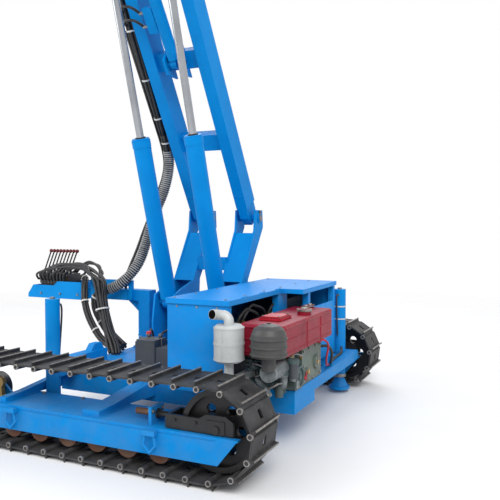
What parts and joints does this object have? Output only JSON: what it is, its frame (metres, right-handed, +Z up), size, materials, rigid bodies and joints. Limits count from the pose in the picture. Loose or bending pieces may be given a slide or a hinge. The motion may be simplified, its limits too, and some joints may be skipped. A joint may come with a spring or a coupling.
{
  "type": "anchor drilling rig",
  "caption": "Tracked anchor drilling rig with a slewing twin-beam boom, lift cylinders, work platform with a tilting drill feed, engine cabinet and jacks.",
  "frame": {"origin": "middle of the rig's box, on the ground under the tracks", "axes": "+X towards the drive end, +Y towards the engine side, +Z up"},
  "size_m": [2.7274, 3.5358, 5.3788],
  "materials": {
    "black_paint": "black paint",
    "blue_paint": "bright blue gloss paint",
    "box_grey": "dark grey plastic",
    "chrome_rod": "hard chrome",
    "cleaner_grey": "dark grey",
    "cover_green": "grey-green paint",
    "drill_steel": "machined steel",
    "engine_teal": "dark teal engine paint",
    "hose_rubber": "black rubber",
    "muffler_grey": "heat-proof light grey",
    "ring_steel": "greased steel",
    "roller_rust": "rusty orange primer",
    "sprocket_gold": "gold zinc finish, worn",
    "tank_red": "weathered red paint",
    "track_steel": "worn cast steel, lighter on the grousers",
    "valve_grey": "dark grey castings with brass fittings"
  },
  "bodies": {
    "root": {"track_left": "track_steel", "track_right": "track_steel", "idler_wheels": "black_paint", "idler_yokes": "black_paint", "drive_sprockets": "sprocket_gold", "drive_hubs": "black_paint", "track_rollers": "roller_rust", "track_frames": "blue_paint", "lifting_rings": "blue_paint", "chassis_frame": "blue_paint", "engine_tray": "blue_paint", "slew_ring": "ring_steel", "cabinet_panels": "blue_paint", "cabinet_top": "blue_paint", "pump_set": "valve_grey", "engine_block": "engine_teal", "engine_cover": "cover_green", "fuel_tank": "tank_red", "air_cleaner": "cleaner_grey", "muffler": "muffler_grey", "battery_box": "box_grey", "console_post": "blue_paint", "control_table": "blue_paint", "valve_bank": "valve_grey", "boom_hose_loop": "hose_rubber", "boom_hose_thin": "hose_rubber", "console_hoses": "hose_rubber", "jack_tube_front_left": "blue_paint", "jack_tube_front_right": "blue_paint", "jack_tube_rear_right": "blue_paint"},
    "boom_stand_body": {"boom_stand": "blue_paint"},
    "boom": {"boom_frame": "blue_paint", "boom_hose_clamped": "hose_rubber"},
    "lift_barrels_body": {"lift_barrels": "blue_paint"},
    "lift_rods_body": {"lift_rods": "chrome_rod"},
    "level_barrel_body": {"level_barrel": "blue_paint"},
    "level_rod_body": {"level_rod": "chrome_rod"},
    "head": {"platform_head": "blue_paint"},
    "platform": {"platform_deck": "blue_paint", "guard_rails": "blue_paint"},
    "feed": {"feed_beam": "blue_paint", "head_guard": "drill_steel"},
    "drill": {"drill_head": "ring_steel"},
    "chuck": {"drill_chuck": "drill_steel"},
    "leg_front_left": {"jack_leg_front_left": "blue_paint"},
    "leg_front_right": {"jack_leg_front_right": "blue_paint"},
    "leg_rear_right": {"jack_leg_rear_right": "blue_paint"}
  },
  "joints": [
    {"name": "boom_slew", "type": "hinge", "parent": "root", "child": "boom_stand_body", "pos_m": [-0.20132, -0.82793, 0.37], "axis": [0, 0, 1], "range_deg": [-180, 180], "deforming": ["boom_hose_loop", "boom_hose_thin"]},
    {"name": "boom_luff", "type": "hinge", "parent": "boom_stand_body", "child": "boom", "pos_m": [-0.20132, -1.24794, 1.335], "axis": [-1, 0, 0], "range_deg": [0, 46], "deforming": ["boom_hose_loop", "boom_hose_thin"]},
    {"name": "lift_barrel_tilt", "type": "hinge", "parent": "boom_stand_body", "child": "lift_barrels_body", "pos_m": [-0.20132, -0.72793, 0.7], "axis": [-1, 0, 0], "range_deg": [-1, 43.6]},
    {"name": "lift_rod_slide", "type": "slide", "parent": "lift_barrels_body", "child": "lift_rods_body", "axis": [0, 0.2954, 0.9554], "range_m": [-0.6322, 0.005]},
    {"name": "platform_level", "type": "hinge", "parent": "boom", "child": "head", "pos_m": [-0.20132, 0.39793, 4.02082], "axis": [1, 0, 0], "range_deg": [-6, 46]},
    {"name": "level_barrel_tilt", "type": "hinge", "parent": "boom", "child": "level_barrel_body", "pos_m": [-0.20132, -0.48673, 2.40493], "axis": [1, 0, 0], "range_deg": [-0.64, 1.54]},
    {"name": "level_rod_slide", "type": "slide", "parent": "level_barrel_body", "child": "level_rod_body", "axis": [0, 0.5797, 0.8148], "range_m": [-0.027, 0.1735]},
    {"name": "platform_turn", "type": "hinge", "parent": "head", "child": "platform", "pos_m": [-0.20132, 0.39793, 4.27082], "axis": [0, 0, 1], "range_deg": [-90, 90]},
    {"name": "feed_tilt", "type": "hinge", "parent": "platform", "child": "feed", "pos_m": [0.04868, 1.06794, 4.66882], "axis": [-1, 0, 0], "range_deg": [0, 90]},
    {"name": "head_feed", "type": "slide", "parent": "feed", "child": "drill", "axis": [0, 1, 0], "range_m": [-0.65, 0.72]},
    {"name": "chuck_spin", "type": "hinge", "parent": "drill", "child": "chuck", "pos_m": [0.04868, 0.16794, 4.84412], "axis": [0, 1, 0], "continuous": true},
    {"name": "jack_front_left", "type": "slide", "parent": "root", "child": "leg_front_left", "axis": [0, 0, -1], "range_m": [0, 0.22]},
    {"name": "jack_front_right", "type": "slide", "parent": "root", "child": "leg_front_right", "axis": [0, 0, -1], "range_m": [0, 0.22]},
    {"name": "jack_rear_right", "type": "slide", "parent": "root", "child": "leg_rear_right", "axis": [0, 0, -1], "range_m": [0, 0.22]}
  ],
  "couplings": [
    {"joint": "lift_barrel_tilt", "follows": "boom_luff", "ratio": 0.92615},
    {"joint": "lift_rod_slide", "follows": "boom_luff", "m_per_rad": -0.78117},
    {"joint": "level_barrel_tilt", "follows": "platform_level", "ratio": 0.022635},
    {"joint": "level_rod_slide", "follows": "platform_level", "m_per_rad": 0.20992}
  ]
}
